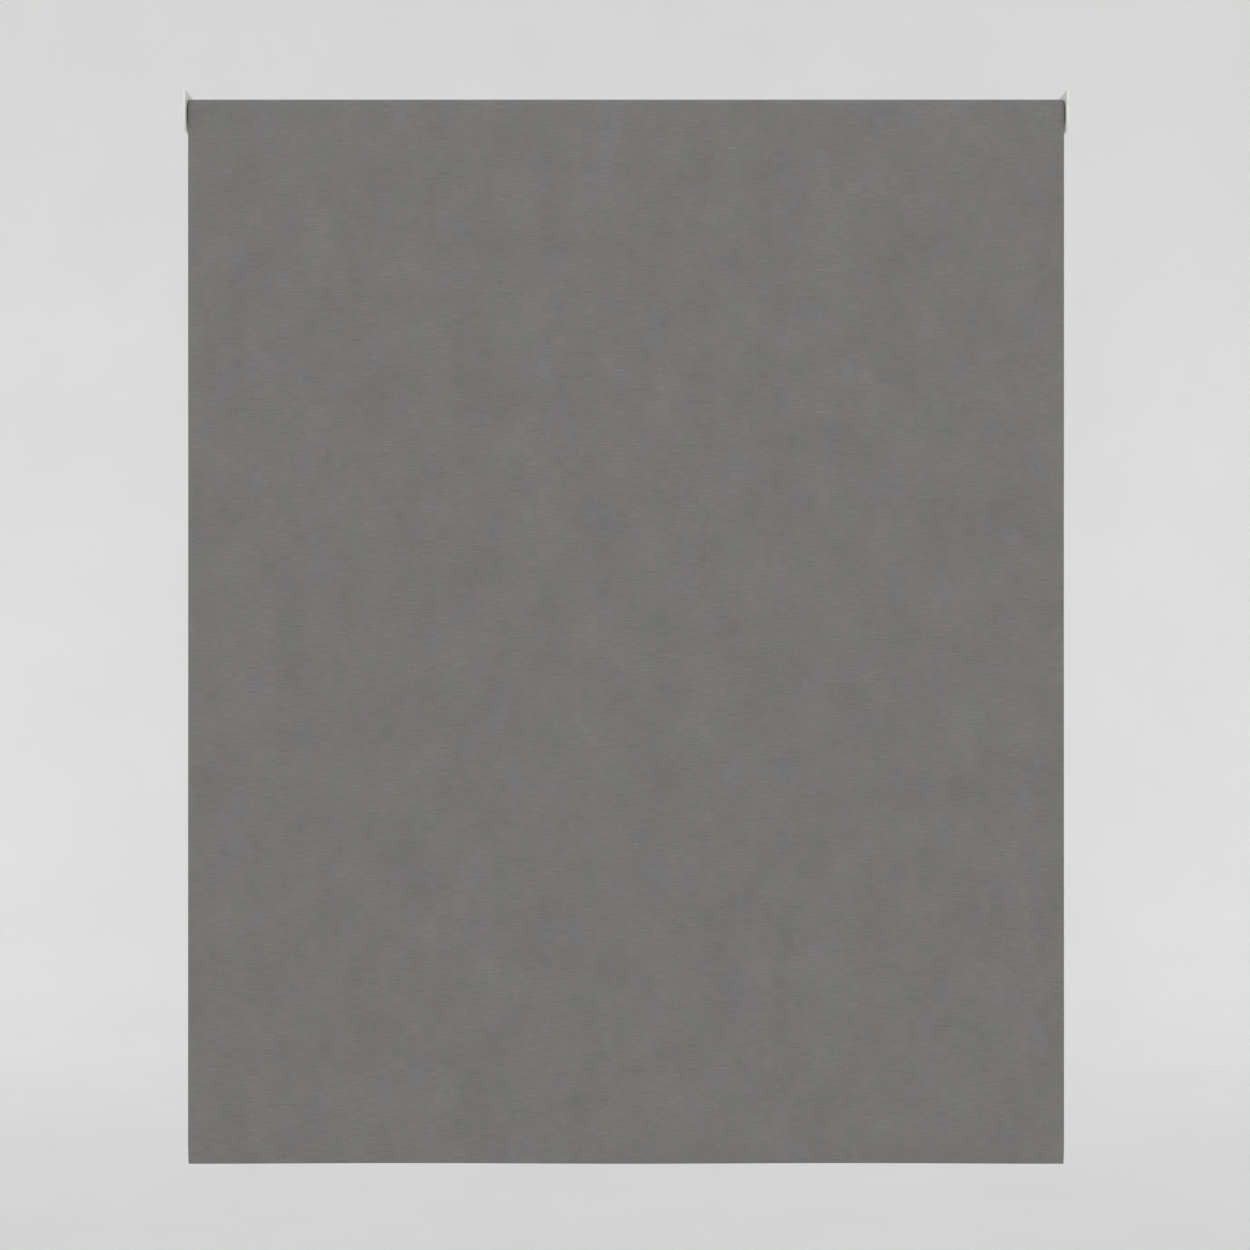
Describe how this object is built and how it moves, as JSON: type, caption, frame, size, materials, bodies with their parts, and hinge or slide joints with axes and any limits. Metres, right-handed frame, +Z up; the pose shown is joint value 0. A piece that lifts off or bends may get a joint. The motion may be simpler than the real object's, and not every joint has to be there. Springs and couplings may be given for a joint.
{
  "type": "roller blind",
  "caption": "Cordless spring roller blind, lowered, with grey woven blockout fabric, enclosed hem bar and slim white end brackets.",
  "frame": {"origin": "on the wall face that the brackets are screwed to, midway between them and level with their top edges", "axes": "+X to the right as seen from the room, along the roller; +Y into the wall; +Z up"},
  "size_m": [1.2102, 0.0851, 1.47],
  "materials": {
    "fabric": "matte",
    "bracket_steel": "satin",
    "white_plastic": "satin",
    "aluminium": "satin",
    "steel": "satin",
    "spring_steel": "satin",
    "nylon": "satin",
    "black_nylon": "satin",
    "vinyl": "satin"
  },
  "bodies": {
    "root": {"left_bracket": "bracket_steel", "right_bracket": "bracket_steel", "left_bracket_cover": "white_plastic", "right_bracket_cover": "white_plastic", "left_bracket_bush": "nylon", "left_bracket_screw_upper": "steel", "left_bracket_screw_lower": "steel", "right_bracket_screw_upper": "steel", "right_bracket_screw_lower": "steel", "spear": "steel", "spring_shaft": "steel", "roll_pin_spear": "steel", "roll_pin_brake": "steel", "roll_pin_limit": "steel", "roll_pin_anchor": "steel", "brake_drum": "steel", "limit_screw": "nylon", "limit_end_collar": "nylon", "spring_anchor": "nylon", "retaining_ring": "spring_steel", "lift_spring": "spring_steel"},
    "roller": {"roller_tube": "aluminium", "fabric_spline": "vinyl", "fabric_roll": "fabric", "pin_end_plug": "black_nylon", "pin_spring_cap": "black_nylon", "pin_spring": "spring_steel", "spring_end_plug": "black_nylon", "spear_bearing": "nylon", "brake_housing": "black_nylon", "brake_housing_lid": "black_nylon", "brake_spring": "spring_steel", "spring_drive_plug": "black_nylon", "drive_bush": "nylon"},
    "idle_pin": {"idle_pin": "steel"},
    "limit_nut": {"limit_nut": "black_nylon"},
    "hem": {"fabric_drop": "fabric", "fabric_hem": "fabric", "hem_bar": "aluminium", "hem_bar_cap_left": "white_plastic", "hem_bar_cap_right": "white_plastic"}
  },
  "joints": [
    {"name": "blind_raise", "type": "slide", "parent": "root", "child": "hem", "axis": [0, 0, 1], "range_m": [0, 1.375], "deforming": ["fabric_drop"]},
    {"name": "roller_spin", "type": "hinge", "parent": "root", "child": "roller", "pos_m": [0, -0.031, -0.028], "axis": [-1, 0, 0], "range_deg": [0, 3600], "deforming": ["lift_spring"]},
    {"name": "pin_release", "type": "slide", "parent": "roller", "child": "idle_pin", "axis": [1, 0, 0], "range_m": [0, 0.006], "stiffness_N_per_m": 1000, "springref_m": -0.004, "deforming": ["pin_spring"]},
    {"name": "limit_nut_travel", "type": "slide", "parent": "roller", "child": "limit_nut", "axis": [-1, 0, 0], "range_m": [0, 0.025]}
  ],
  "couplings": [
    {"joint": "roller_spin", "follows": "blind_raise", "rad_per_m": 45.696},
    {"joint": "limit_nut_travel", "follows": "blind_raise", "ratio": 0.018182}
  ]
}
